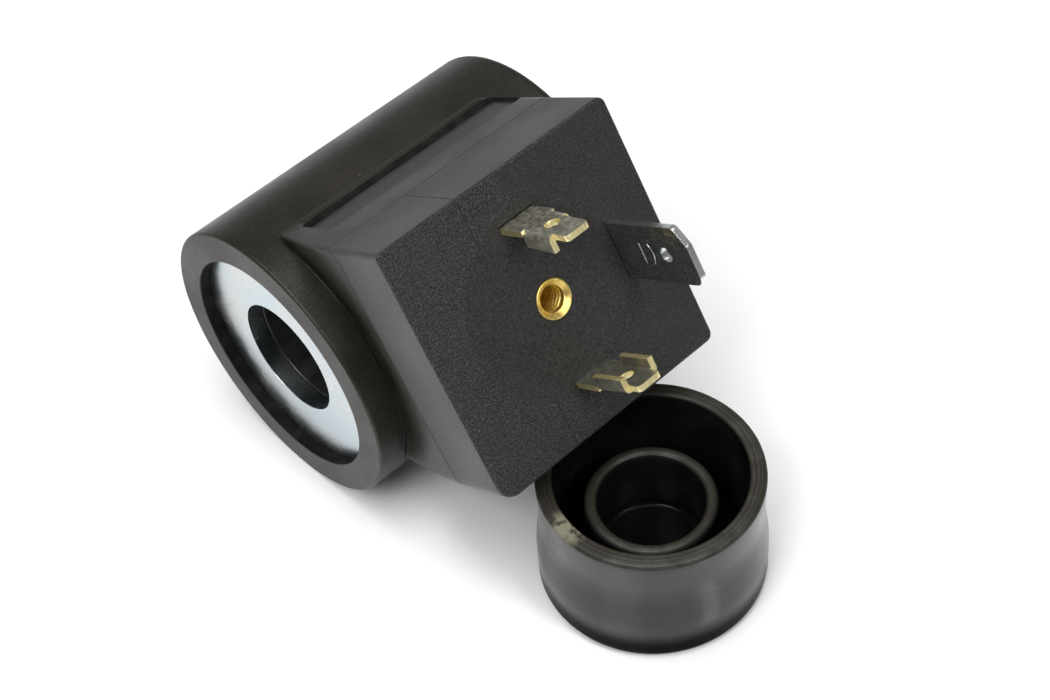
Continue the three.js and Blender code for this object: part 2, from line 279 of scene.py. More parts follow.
def combine(piece, operation, *shapes):
    """Joins shapes to a piece or cuts them from it, one after another."""
    for shape in shapes:
        tool = raw_object("tool", shape)
        change = piece.modifiers.new("combine", "BOOLEAN")
        change.operation = operation
        change.solver = "EXACT"
        change.object = tool
        settle(piece)
        bpy.data.objects.remove(tool)
    return piece


def cut(piece, *shapes):
    return combine(piece, "DIFFERENCE", *shapes)


def join(piece, *shapes):
    return combine(piece, "UNION", *shapes)


def soften(piece, width, segments=2, angle=35):
    """Rounds every edge sharper than an angle."""
    edge = piece.modifiers.new("edges", "BEVEL")
    edge.width = width
    edge.segments = segments
    edge.limit_method = "ANGLE"
    edge.angle_limit = math.radians(angle)
    edge.harden_normals = False
    return settle(piece)


def finish_piece(piece, body, stands_for, materials, choose=None, sharp=38):
    """Lays a piece into the row frame, gives it its materials and puts it on its body."""
    mesh = piece.data
    if choose:
        for polygon in mesh.polygons:
            polygon.material_index = choose(polygon.center, polygon.normal)
    chosen = [polygon.material_index for polygon in mesh.polygons]
    mesh.materials.clear()
    for material in materials:
        mesh.materials.append(material)
    mesh.polygons.foreach_set("material_index", chosen)
    mesh.transform(PLACES[body])
    mesh.shade_smooth()
    mesh.set_sharp_from_angle(angle=math.radians(sharp))
    weighted = piece.modifiers.new("normals", "WEIGHTED_NORMAL")
    weighted.keep_sharp = True
    mesh.update()
    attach(piece, body)
    if stands_for:
        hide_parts(*stands_for)
    return piece


# ---- Materials ----

def set_inputs(node, values):
    for socket, value in values.items():
        node.inputs[socket].default_value = value


class Paint:
    """A Principled material whose patterns are laid out in a piece's own axes, in millimetres."""

    def __init__(self, name, place, color, roughness, metallic=0.0, **sockets):
        self.material = bpy.data.materials.new(name)
        self.material.use_nodes = True
        self.nodes = self.material.node_tree.nodes
        self.links = self.material.node_tree.links
        self.shader = self.nodes["Principled BSDF"]
        self.set("Base Color", (*color, 1))
        self.set("Roughness", roughness)
        self.set("Metallic", metallic)
        for socket, value in sockets.items():
            self.set(socket.replace("_", " "), value)
        back = place.inverted()
        where = self.nodes.new("ShaderNodeTexCoord")
        axes = self.nodes.new("ShaderNodeMapping")
        set_inputs(axes, {"Location": back.to_translation(), "Rotation": back.to_euler(),
                          "Scale": (1 / MM, 1 / MM, 1 / MM)})
        self.links.new(where.outputs["Object"], axes.inputs["Vector"])
        self.axes = axes.outputs["Vector"]

    def set(self, socket, value):
        self.shader.inputs[socket].default_value = value

    def feed(self, node, socket, source):
        """Links another node's output to a socket, or sets the socket to a constant."""
        if hasattr(source, "links"):
            self.links.new(source, node.inputs[socket])
        else:
            node.inputs[socket].default_value = source

    def stretched(self, scale):
        """The piece's axes, with a different scale along each."""
        node = self.nodes.new("ShaderNodeMapping")
        node.inputs["Scale"].default_value = scale
        self.links.new(self.axes, node.inputs["Vector"])
        return node.outputs["Vector"]

    def noise(self, per_mm, detail=2.0, vector=None, rough=0.55):
        node = self.nodes.new("ShaderNodeTexNoise")
        set_inputs(node, {"Scale": per_mm, "Detail": detail, "Roughness": rough})
        self.links.new(vector or self.axes, node.inputs["Vector"])
        return node.outputs["Fac"]

    def cells(self, per_mm):
        node = self.nodes.new("ShaderNodeTexVoronoi")
        node.inputs["Scale"].default_value = per_mm
        self.links.new(self.axes, node.inputs["Vector"])
        return node.outputs["Distance"]

    def waves(self, per_mm, direction="X"):
        node = self.nodes.new("ShaderNodeTexWave")
        node.bands_direction = direction
        set_inputs(node, {"Scale": per_mm, "Distortion": 0.0})
        self.links.new(self.axes, node.inputs["Vector"])
        return node.outputs["Fac"]

    def radius(self, axis):
        """Distance from one of the piece's axes."""
        flat = self.nodes.new("ShaderNodeVectorMath")
        flat.operation = "MULTIPLY"
        flat.inputs[1].default_value = [0.0 if name == axis else 1.0 for name in "XYZ"]
        self.links.new(self.axes, flat.inputs[0])
        size = self.nodes.new("ShaderNodeVectorMath")
        size.operation = "LENGTH"
        self.links.new(flat.outputs["Vector"], size.inputs[0])
        return size.outputs["Value"]

    def rings(self, per_mm, axis):
        """Noise that only changes with the distance from an axis, like the marks of turning."""
        node = self.nodes.new("ShaderNodeCombineXYZ")
        self.links.new(self.radius(axis), node.inputs["X"])
        return self.noise(per_mm, 3, node.outputs["Vector"])

    def along(self, axis):
        """One of the piece's coordinates."""
        node = self.nodes.new("ShaderNodeSeparateXYZ")
        self.links.new(self.axes, node.inputs["Vector"])
        return node.outputs[axis]

    def ramp(self, source, low, high, from_value, to_value):
        node = self.nodes.new("ShaderNodeMapRange")
        node.interpolation_type = "SMOOTHSTEP"
        self.feed(node, "Value", source)
        set_inputs(node, {"From Min": low, "From Max": high,
                          "To Min": from_value, "To Max": to_value})
        return node.outputs["Result"]

    def maths(self, operation, first, second):
        node = self.nodes.new("ShaderNodeMath")
        node.operation = operation
        self.feed(node, 0, first)
        self.feed(node, 1, second)
        return node.outputs["Value"]

    def mixed(self, share, first, second):
        """A colour between two, each a colour or another node's output."""
        node = self.nodes.new("ShaderNodeMix")
        node.data_type = "RGBA"
        self.links.new(share, node.inputs[0])
        for socket, color in ((6, first), (7, second)):
            self.feed(node, socket, color if hasattr(color, "links") else (*color, 1))
        return node.outputs[2]

    def blend(self, source, low, high, first, second):
        """A colour between two, by where a pattern lies between two values."""
        return self.mixed(self.ramp(source, low, high, 0, 1), first, second)

    def color_from(self, source):
        self.links.new(source, self.shader.inputs["Base Color"])

    def roughness_from(self, source):
        self.links.new(source, self.shader.inputs["Roughness"])

    def specular_from(self, source):
        self.links.new(source, self.shader.inputs["Specular IOR Level"])

    def bump(self, height, distance_mm):
        """Adds relief of a real depth on top of any relief there is."""
        node = self.nodes.new("ShaderNodeBump")
        set_inputs(node, {"Strength": 1.0, "Distance": distance_mm * MM})
        self.links.new(height, node.inputs["Height"])
        normal = self.shader.inputs["Normal"]
        if normal.links:
            self.links.new(normal.links[0].from_socket, node.inputs["Normal"])
        self.links.new(node.outputs["Normal"], normal)


def shade(color, factor):
    return tuple(channel * factor for channel in color)


def moulded_plastic(name, color, roughness, grain_mm, relief_mm, place=COIL):
    """Black moulded plastic with cloudy gloss, fine grain and a few pale specks of dust."""
    paint = Paint(name, place, color, roughness)
    cloud = paint.noise(0.12, 3)
    tone = paint.blend(cloud, 0.35, 0.68, shade(color, 0.85), shade(color, 1.25))
    dust = paint.ramp(paint.cells(0.55), 0.05, 0.11, 1, 0)
    patch = paint.ramp(paint.noise(0.4, 2), 0.56, 0.66, 0, 0.5)
    paint.color_from(paint.mixed(paint.maths("MULTIPLY", dust, patch), tone, (0.16, 0.15, 0.14)))
    paint.roughness_from(paint.ramp(cloud, 0.3, 0.7, roughness - 0.06, roughness + 0.06))
    paint.bump(paint.noise(1 / grain_mm, 3), relief_mm)
    return paint


def body_plastic():
    """The coil's overmoulding: warm black barrel with faint lines along the bore."""
    paint = moulded_plastic("moulded_body", (0.0150, 0.0135, 0.0112), 0.40, 0.2, 0.010)
    paint.set("Specular Tint", (1.0, 0.96, 0.88, 1))
    grain = paint.ramp(paint.noise(4.5, 2), 0.34, 0.66, 0.7, 1.3)
    higher = paint.ramp(paint.along("Z"), 16, 25, 0.29, 0.42)
    paint.specular_from(paint.maths("MULTIPLY", grain, higher))
    lines = paint.noise(1.0, 3, paint.stretched((0.05, 3.2, 3.2)))
    paint.bump(lines, 0.006)
    paint.bump(paint.noise(0.22, 2), 0.03)
    return paint.material


def recess_shade_plastic():
    """Walls of a recess: dull plastic painted near black as shade."""
    color = (0.006, 0.0055, 0.005)
    paint = Paint("recess_wall_shade", COIL, color, 0.75, Specular_IOR_Level=0.12)
    scuff = paint.noise(0.5, 3)
    paint.color_from(paint.blend(scuff, 0.4, 0.7, shade(color, 0.7), shade(color, 2.2)))
    paint.bump(scuff, 0.02)
    return paint.material


def panel_plastic():
    """Floor of the label panel, a little uneven."""
    paint = moulded_plastic("label_panel", (0.020, 0.0188, 0.0172), 0.5, 0.3, 0.02)
    paint.bump(paint.noise(0.7, 2, paint.stretched((0.6, 1, 1.6))), 0.03)
    return paint.material


def head_side_plastic():
    paint = moulded_plastic("head_side", (0.030, 0.0282, 0.0252), 0.46, 0.25, 0.010)
    grain = paint.noise(4.5, 2)
    shine = paint.ramp(grain, 0.34, 0.66, 0.7, 1.4)
    higher = paint.ramp(paint.along("Z"), 20, 27, 0.3, 0.58)
    paint.specular_from(paint.maths("MULTIPLY", shine, higher))
    paint.bump(grain, 0.008)
    return paint.material


def spark_eroded(name, color, relief_mm, roughness, glint_brightness, shine_range):
    """The connector face: a fine pitted grain, with pale specks painted on the grain's tops as
    glints.
    """
    paint = Paint(name, COIL, color, roughness)
    grain = paint.noise(5.5, 3, rough=0.75)
    cloud = paint.noise(0.25, 2)
    tone = paint.blend(grain, 0.38, 0.68, shade(color, 0.45), shade(color, 1.9))
    # The grain's tops are painted pale as glints, and made more specular as well.
    glint_peaks = paint.maths("MULTIPLY", paint.ramp(paint.cells(2.6), 0.06, 0.2, 1, 0),
                        paint.ramp(paint.noise(1.1, 2), 0.5, 0.64, 0, 0.8))
    tone = paint.mixed(glint_peaks, tone, shade(color, glint_brightness))
    paint.color_from(paint.mixed(paint.ramp(cloud, 0.3, 0.75, 0, 0.3), tone, shade(color, 1.4)))
    paint.roughness_from(paint.ramp(grain, 0.3, 0.7, roughness + 0.08, roughness - 0.08))
    shine = paint.ramp(grain, 0.36, 0.66, 0.5 - shine_range, 0.5 + shine_range)
    paint.specular_from(paint.maths("ADD", shine, glint_peaks))
    paint.bump(grain, relief_mm)
    return paint.material


def zinc_washer():
    """Bright zinc plating over a faintly turned face, bluish in places."""
    paint = Paint("zinc_plate", COIL, (0.52, 0.56, 0.58), 0.24, 1.0)
    cloud = paint.noise(0.16, 3)
    blue, white = (0.475, 0.545, 0.58), (0.585, 0.60, 0.60)
    paint.color_from(paint.blend(cloud, 0.35, 0.7, blue, white))
    paint.roughness_from(paint.ramp(cloud, 0.3, 0.7, 0.2, 0.3))
    paint.bump(paint.rings(4.0, "X"), 0.0003)
    return paint.material


def plated_sheet(name, color, roughness, stain, relief_mm):
    """Plated sheet metal with a rolled grain and cloudy patches where the plating is thin."""
    paint = Paint(name, COIL, color, roughness, 1.0)
    cloud = paint.noise(1.8, 4, rough=0.65)
    paint.color_from(paint.blend(cloud, 0.35, 0.75, color, stain))
    paint.roughness_from(paint.ramp(cloud, 0.3, 0.7, roughness - 0.07, roughness + 0.09))
    paint.bump(paint.noise(2.0, 3, paint.stretched((2.4, 2.4, 0.12))), relief_mm)
    paint.bump(paint.noise(0.7, 2), 0.003)
    return paint.material


def cut_edge(name, color, roughness):
    """Sheared edge: streaks across the sheet's thickness."""
    paint = Paint(name, COIL, color, roughness, 1.0)
    streak = paint.noise(3.0, 3, paint.stretched((1.6, 0.3, 1.6)))
    paint.color_from(paint.blend(streak, 0.35, 0.7, shade(color, 0.8), color))
    paint.bump(streak, 0.02)
    return paint.material


def turned_brass():
    paint = Paint("insert_brass", COIL, (0.90, 0.68, 0.21), 0.3, 1.0)
    marks = paint.noise(2.2, 3, paint.stretched((1, 1, 5)))
    paint.color_from(paint.blend(marks, 0.35, 0.7, (0.74, 0.52, 0.13), (0.95, 0.78, 0.30)))
    paint.roughness_from(paint.ramp(marks, 0.3, 0.7, 0.32, 0.46))
    paint.bump(marks, 0.003)
    return paint.material


def cap_gloss():
    """Glossy black cap with small dents and a few handling marks, painted near black and less
    glossy near its foot as shade.
    """
    color, foot_shade_color = (0.0080, 0.0072, 0.0082), (0.002, 0.0018, 0.0014)
    paint = Paint("cap_gloss", CAP, color, 0.2)
    # From the foot up to 6 mm the colour and specular rise: the dark band at the foot is painted
    # shade.
    clear_of_foot_shade = paint.ramp(paint.along("Z"), 1.6, 6.0, 0, 1)
    paint.specular_from(paint.ramp(clear_of_foot_shade, 0, 1, 0.02, 0.38))
    cloud = paint.noise(0.18, 4)
    tone = paint.blend(cloud, 0.4, 0.7, shade(color, 0.8), shade(color, 1.5))
    paint.color_from(paint.mixed(clear_of_foot_shade, foot_shade_color, tone))
    paint.roughness_from(paint.ramp(cloud, 0.32, 0.72, 0.15, 0.3))
    paint.bump(paint.noise(0.25, 2), 0.03)
    dents = paint.ramp(paint.cells(0.3), 0.02, 0.12, 0, 1)
    paint.bump(dents, 0.02)
    return paint.material


def cap_rim():
    """The cap's matt rim, rubbed paler in patches."""
    color = (0.0205, 0.0185, 0.0132)
    paint = Paint("cap_rim", CAP, color, 0.5, Specular_IOR_Level=0.36)
    marks = paint.rings(4.5, "Z")
    worn_at = paint.nodes.new("ShaderNodeVectorMath")
    worn_at.operation = "DISTANCE"
    worn_at.inputs[1].default_value = (-10.6, 1.2, 15.2)
    paint.links.new(paint.axes, worn_at.inputs[0])
    worn = paint.ramp(worn_at.outputs["Value"], 1.0, 2.6, 1, 0)
    worn = paint.maths("MULTIPLY", worn, paint.ramp(paint.noise(0.9, 3), 0.35, 0.55, 0, 1))
    tone = paint.blend(marks, 0.4, 0.62, shade(color, 0.75), shade(color, 1.5))
    rub = paint.ramp(paint.noise(0.35, 3), 0.4, 0.65, 0.65, 1.5)
    paint.specular_from(paint.maths("MULTIPLY", rub, paint.ramp(marks, 0.36, 0.64, 0.25, 0.4)))
    paint.color_from(paint.mixed(worn, tone, (0.17, 0.16, 0.11)))
    paint.roughness_from(paint.ramp(marks, 0.35, 0.7, 0.56, 0.4))
    paint.bump(marks, 0.02)
    paint.bump(paint.noise(3.0, 2), 0.01)
    return paint.material


def nylon_bore():
    color = (0.016, 0.018, 0.017)
    paint = Paint("bobbin_nylon", COIL, color, 0.3)
    lines = paint.noise(1.0, 3, paint.stretched((0.15, 0.5, 0.5)))
    paint.color_from(paint.blend(lines, 0.35, 0.7, shade(color, 0.7), shade(color, 1.3)))
    paint.roughness_from(paint.ramp(lines, 0.35, 0.7, 0.26, 0.36))
    paint.bump(lines, 0.004)
    return paint.material


def inner_metal(name, color, roughness, per_mm):
    """Hidden metal: drawn steel, solder or wire."""
    paint = Paint(name, COIL, color, roughness, 1.0)
    grain = paint.noise(per_mm, 3, paint.stretched((0.3, 1, 1)))
    paint.color_from(paint.blend(grain, 0.35, 0.7, shade(color, 0.8), color))
    paint.roughness_from(paint.ramp(grain, 0.3, 0.7, roughness - 0.05, roughness + 0.1))
    paint.bump(grain, 0.01)
    return paint.material


def wound_copper():
    """Enamelled winding: one turn of wire beside the next along the bore."""
    paint = Paint("copper_wire", COIL, (0.72, 0.3, 0.12), 0.28, 1.0, Coat_Weight=0.6)
    turns = paint.waves(0.8)
    # The colour darkens between neighbouring turns: painted shade.
    paint.color_from(paint.mixed(turns, (0.36, 0.12, 0.045), (0.8, 0.38, 0.17)))
    paint.bump(turns, 0.12)
    return paint.material


def tape():
    paint = Paint("winding_tape", COIL, (0.62, 0.4, 0.1), 0.3, Transmission_Weight=0.15)
    creases = paint.noise(0.4, 3, paint.stretched((0.3, 1, 1)))
    paint.color_from(paint.blend(creases, 0.4, 0.7, (0.55, 0.34, 0.08), (0.72, 0.5, 0.16)))
    paint.bump(creases, 0.05)
    return paint.material


def sleeving():
    paint = Paint("sleeving", COIL, (0.72, 0.66, 0.5), 0.6)
    weave = paint.maths("MULTIPLY", paint.waves(1.6, "DIAGONAL"), paint.waves(1.6, "Z"))
    paint.color_from(paint.mixed(weave, (0.55, 0.48, 0.33), (0.8, 0.75, 0.62)))
    paint.bump(weave, 0.06)
    return paint.material


# ---- Moulded body ----

def block_outline(inset=0.0, longest=1.0):
    """The block's outline, its four corners each with their own radius, drawn in by an inset."""
    x, y = BLOCK_HALF_LENGTH - inset, BLOCK_HALF_WIDTH - inset
    radii = [CORNERS[name] for name in ("near_down", "far_down", "far_up", "near_up")]
    radii = [max(radius - inset, 0.05) for radius in radii]
    corners = [(-x, -y), (x, -y), (x, y), (-x, y)]
    corner_steps = 6
    outline = rounded(corners, radii, corner_steps)
    result = []
    for corner, length in enumerate([2 * BLOCK_HALF_LENGTH, 2 * BLOCK_HALF_WIDTH] * 2):
        arc = outline[corner * (corner_steps + 1):(corner + 1) * (corner_steps + 1)]
        result += arc
        start = Vector(arc[-1])
        end = Vector(outline[(corner + 1) * (corner_steps + 1) % len(outline)])
        steps = round(length / longest)
        result += [tuple(start.lerp(end, step / steps)) for step in range(1, steps)]
    return result


def outline_normals(outline):
    normals = []
    for index, point in enumerate(outline):
        before = Vector(outline[index - 1])
        after = Vector(outline[(index + 1) % len(outline)])
        run = (after - before).normalized()
        normals.append(Vector((run.y, -run.x)))
    return normals


def ease(value):
    value = min(max(value, 0.0), 1.0)
    return value * value * (3 - 2 * value)


def parting_height(y):
    """The parting line is level but for the upper side, where it runs lower."""
    return PARTING - PARTING_DROP * ease((y - BLOCK_HALF_WIDTH + 0.9) / 0.9)


def block_wall(outline):
    """Loops from the barrel up to the parting line, and where they start on the barrel."""
    wall_steps, fillet_steps, chamfer = 7, 6, PARTING_CHAMFER
    columns = []
    for (x, y), normal in zip(outline, outline_normals(outline)):
        near = max(0.0, -normal.x)
        drawn_in = NEAR_TAPER * ease((-x - BLOCK_HALF_LENGTH / 2) / (BLOCK_HALF_LENGTH / 2))
        fillet = SIDE_FILLET + (NEAR_FILLET - SIDE_FILLET) * near
        ball_y = y + fillet * normal.y
        ball_z = math.sqrt((COIL_RADIUS + fillet) ** 2 - ball_y ** 2)
        ball = Vector((x + drawn_in + fillet * normal.x, ball_y, ball_z))
        to_wall = Vector((-normal.x, -normal.y, 0))
        to_barrel = Vector((0, -ball.y, -ball.z)).normalized()
        column = []
        for step in range(fillet_steps + 1):
            share = step / fillet_steps
            point = ball + fillet * to_barrel.slerp(to_wall, share)
            outwards = Vector((0, point.y, point.z)).normalized()
            dip = NEAR_GROOVE * near ** 2 * math.sin(math.pi * min(1, 1.15 * share))
            column.append(point - outwards * dip)
        top = parting_height(y) - HAIRLINE
        for step in range(1, wall_steps + 1):
            rise = step / wall_steps
            height = ball_z + (top - chamfer - ball_z) * rise
            column.append(Vector((x + drawn_in * (1 - rise) ** 1.3, y, height)))
        column.append(Vector((x - chamfer * normal.x, y - chamfer * normal.y, top)))
        columns.append(column)
    return [[column[level] for column in columns] for level in range(len(columns[0]))]


def inside(point, polygon):
    """True if a 2-D point is inside a closed polygon."""
    x, y = point
    found = False
    for index, (x1, y1) in enumerate(polygon):
        x0, y0 = polygon[index - 1]
        if (y0 > y) != (y1 > y) and x < x0 + (y - y0) * (x1 - x0) / (y1 - y0):
            found = not found
    return found


def barrel_skin(foot, near, far):
    """The barrel's outer surface between two rims, open under the block's foot.

    It is triangulated as a flat sheet, rolled out round the bore's axis, and rolled up again.
    """
    rolled_foot = [(p.x, COIL_RADIUS * math.atan2(p.y, p.z)) for p in foot]
    half_turn = math.pi * COIL_RADIUS
    around = [half_turn * (2 * step / ROUND - 1) for step in range(ROUND + 1)]
    rows = 24
    lengths = [near + (far - near) * step / rows for step in range(rows + 1)]
    border = [(near, s) for s in around]
    border += [(x, half_turn) for x in lengths[1:]]
    border += [(far, s) for s in reversed(around[:-1])]
    border += [(x, -half_turn) for x in reversed(lengths[1:-1])]
    margin = 0.45
    grid = []
    for x in lengths[1:-1]:
        for s in around[1:-1]:
            apart = min((x - a) ** 2 + (s - b) ** 2 for a, b in rolled_foot)
            if apart > margin ** 2 and not inside((x, s), rolled_foot):
                grid.append((x, s))
    points = border + rolled_foot + grid
    edges = [(i, (i + 1) % len(border)) for i in range(len(border))]
    start, count = len(border), len(rolled_foot)
    edges += [(start + i, start + (i + 1) % count) for i in range(count)]
    flat, _, triangles, *_ = delaunay_2d_cdt([Vector(p) for p in points], edges, [], 0, 1e-5)
    faces = []
    for triangle in triangles:
        centre = sum((flat[i] for i in triangle), Vector((0, 0))) / 3
        if not inside(centre, rolled_foot):
            faces.append(tuple(triangle))
    angles = [p.y / COIL_RADIUS for p in flat]
    rolled = [(p.x, COIL_RADIUS * math.sin(angle), COIL_RADIUS * math.cos(angle))
              for p, angle in zip(flat, angles)]
    return rolled, faces


def merged(*shapes):
    points, faces = [], []
    for more_points, more_faces in shapes:
        start = len(points)
        points += [tuple(p) for p in more_points]
        faces += [tuple(start + i for i in face) for face in more_faces]
    return points, faces


def revolved_open(profile):
    """Surface of revolution about X with the barrel's own facets, its profile left open."""
    loops = []
    for radius, x in profile:
        angles = [2 * math.pi * step / ROUND - math.pi for step in range(ROUND)]
        loops.append([(x, radius * math.sin(a), radius * math.cos(a)) for a in angles])
    return loft(loops, closed_ends=False)


def coil_encapsulation():
    walls = block_wall(block_outline())
    flat_top = [(x, y, PARTING - HAIRLINE) for x, y in block_outline(PARTING_INSET)]
    points, faces = loft(walls + [flat_top], closed_ends=False)
    first = len(points) - len(flat_top)
    block = points, faces + [tuple(range(first, len(points)))]
    barrel = barrel_skin(walls[0], NEAR_END + NEAR_EDGE, FAR_END - FAR_EDGE)
    lip = RECESS_DEPTH - HAIRLINE
    turns = rounded([
        (COIL_RADIUS, NEAR_END + 2 * NEAR_EDGE),
        (COIL_RADIUS, NEAR_END),
        (RECESS_RADIUS, NEAR_END),
        (RECESS_RADIUS, NEAR_END + lip),
        (CAVITY_RADIUS, NEAR_END + lip),
        (CAVITY_RADIUS, FAR_END - lip),
        (RECESS_RADIUS, FAR_END - lip),
        (RECESS_RADIUS, FAR_END),
        (COIL_RADIUS, FAR_END),
        (COIL_RADIUS, FAR_END - 2 * FAR_EDGE),
    ], [0, NEAR_EDGE, MOUTH_EDGE, 0, 0, 0, 0, MOUTH_EDGE, FAR_EDGE, 0], 5, closed=False)
    rims = revolved_open(turns[1:-1])
    piece = raw_object("coil_body", merged(barrel, block, rims))
    pocket = [size + POCKET_CLEARANCE for size in PEDESTAL]
    pocket_bottom = 9
    cut(piece, box((-pocket[0], -pocket[1], pocket_bottom),
                   (pocket[0], pocket[1], PARTING + OVERSHOOT)))
    cut(piece, label_recess())
    bottom = BLOCK_HALF_WIDTH - PANEL["depth"]

    def choose(centre, normal):
        in_panel = centre.y > bottom - 0.02 and PANEL["low"] - 1 < centre.z < PANEL["high"]
        in_panel = in_panel and PANEL["from"] - 0.5 < centre.x < PANEL["to"] + 0.5
        if in_panel and centre.y < bottom + 0.02:
            return 1
        # The panel's lower and far walls take material 2, the near-black recess plastic: painted
        # shade.
        if in_panel and centre.y < BLOCK_HALF_WIDTH - 0.02 and (normal.z > 0.3 or normal.x < -0.3):
            return 2
        radius = math.hypot(centre.y, centre.z)
        # The near recess's wall also takes the near-black recess plastic: painted shade.
        near_end = centre.x < NEAR_END + 2 and abs(normal.x) < 0.5
        return 2 if near_end and radius < RECESS_RADIUS + 0.03 else 0

    return finish_piece(piece, "coil", ["coil_encapsulation"],
                        [body_plastic(), panel_plastic(), recess_shade_plastic()], choose)


def label_recess():
    """Sunken panel along the block's upper side, with sloping walls and rounded corners."""
    low, high = PANEL["low"], PANEL["high"]
    corners = [(PANEL["from"], low), (PANEL["to"], low), (PANEL["to"], high), (PANEL["from"], high)]
    floor = BLOCK_HALF_WIDTH - PANEL["depth"]
    slope, low_slope = 0.28, 0.7
    loops = []
    middle = Vector(((corners[0][0] + corners[2][0]) / 2, (low + high) / 2))
    outside = BLOCK_HALF_WIDTH + OVERSHOOT
    for y, spread in ((floor, 0), (BLOCK_HALF_WIDTH, slope), (outside, slope)):
        wider = [(x + math.copysign(spread, x - middle.x),
                  z + (spread if z > middle.y else -spread * low_slope / slope))
                 for x, z in corners]
        loops.append([(x, y, z) for x, z in rounded(wider, 0.5 + spread, 4)])
    return loft(loops)


# ---- Connector head ----

def connector_head():
    edge, edge_steps, chamfer = 0.3, 4, PARTING_CHAMFER
    outline = block_outline()
    normals = outline_normals(outline)
    loops = [[(x, y, PARTING) for x, y in block_outline(PARTING_INSET)]]
    loops.append([(x - chamfer * n.x, y - chamfer * n.y, parting_height(y))
                  for (x, y), n in zip(outline, normals)])
    for rise in (chamfer, 1.5):
        loops.append([(x, y, parting_height(y) + rise) for x, y in outline])
    for step in range(edge_steps + 1):
        angle = math.pi / 2 * step / edge_steps
        inset = edge * (1 - math.cos(angle))
        height = FACE_HEIGHT - edge * (1 - math.sin(angle))
        loops.append([(x - inset * n.x, y - inset * n.y, height)
                      for (x, y), n in zip(outline, normals)])
    piece = raw_object("plug_head", loft(loops))
    join(piece, box((-PEDESTAL[0], -PEDESTAL[1], PEDESTAL_BOTTOM),
                    (PEDESTAL[0], PEDESTAL[1], PARTING + 0.5)))
    cut(piece, box((-WELL[0], -WELL[1], PEDESTAL_BOTTOM - OVERSHOOT), (WELL[0], WELL[1], WELL_TOP)))
    join(piece, rod(*INSERT_BOSS, WELL_TOP + 0.5, FINE))
    steepness = DISC_SLOPE / DISC_DEPTH
    disc = [(0, FACE_HEIGHT - DISC_DEPTH), (DISC_RADIUS, FACE_HEIGHT - DISC_DEPTH),
            (DISC_RADIUS + DISC_SLOPE + 0.1 * steepness, FACE_HEIGHT + 0.1), (0, FACE_HEIGHT + 0.1)]
    cut(piece, turned(disc, ROUND, False))
    foot = FACE_HEIGHT - INSERT_LENGTH
    hole = INSERT_RADIUS + 0.04
    cut(piece, rod(hole, foot - 0.2, FACE_HEIGHT + OVERSHOOT, FINE))
    cut(piece, *[blade_slot(side) for side in (1, -1)], earth_slot())
    cut(piece, *witness_lines())

    def choose(centre, normal):
        if normal.z < 0.5 or centre.z < FACE_HEIGHT - 0.2:
            return 1
        return 2 if math.hypot(centre.x, centre.y) < DISC_RADIUS + DISC_SLOPE / 2 else 0

    plastics = [
        spark_eroded("connector_face", (0.0150, 0.0140, 0.0140), 0.10, 0.6, 12.0, 0.26),
        head_side_plastic(),
        spark_eroded("connector_disc", (0.0115, 0.0110, 0.0102), 0.03, 0.5, 7.0, 0.14),
    ]
    return finish_piece(piece, "coil", ["connector_head"],
                        plastics, choose)


def blade_slot(side):
    inner = CONTACT_OFFSET - CONTACT_SHEET - SLOT_CLEARANCE
    outer = CONTACT_OFFSET + SLOT_CLEARANCE
    reach = CONTACT_HALF_WIDTH + SLOT_CLEARANCE
    faces = sorted((side * inner, side * outer))
    return box((CONTACT_CENTRE - reach, faces[0], WELL_TOP - OVERSHOOT),
               (CONTACT_CENTRE + reach, faces[1], FACE_HEIGHT + OVERSHOOT))


def earth_slot():
    reach = EARTH_HALF_WIDTH + SLOT_CLEARANCE
    return box((EARTH_OFFSET - SLOT_CLEARANCE, -reach, WELL_TOP - OVERSHOOT),
               (EARTH_OFFSET + EARTH_SHEET + SLOT_CLEARANCE, reach, FACE_HEIGHT + OVERSHOOT))


def witness_lines():
    """Fine grooves where the mould's inserts met, across the face and down the upper side."""
    x, width, depth, inner = -4.75, 0.09, 0.08, 8.5
    outer, over = BLOCK_HALF_WIDTH, OVERSHOOT
    across = [box((x, low, FACE_HEIGHT - depth), (x + width, high, FACE_HEIGHT + over))
              for low, high in ((inner, outer + over), (-outer - over, -inner))]
    down = box((x, outer - depth / 2, PARTING - over),
               (x + width, outer + over, FACE_HEIGHT + over))
    return [*across, down]


# ---- Terminals ----

def upright(outline, from_y, to_y):
    """A flat plate whose outline runs in X and Z."""
    return loft([[(x, y, z) for x, z in outline] for y in (from_y, to_y)])


def contact_wing(side, end, depth):
    """One folded wing: a quarter bend, then a straight leg."""
    bend, overlap = 0.4, 1.2
    outer, inner = CONTACT_OFFSET, CONTACT_OFFSET - CONTACT_SHEET
    edge = CONTACT_HALF_WIDTH
    section = rounded([
        (edge - overlap, outer), (edge, outer), (edge, outer - depth),
        (edge - CONTACT_SHEET, outer - depth), (edge - CONTACT_SHEET, inner),
        (edge - overlap, inner),
    ], [0, CONTACT_SHEET + bend, 0.1, 0.1, bend, 0], 7)
    low, high = FACE_HEIGHT + WING_START, FACE_HEIGHT + end
    return loft([[(side * x, y, z) for x, y in section] for z in (low, high)])


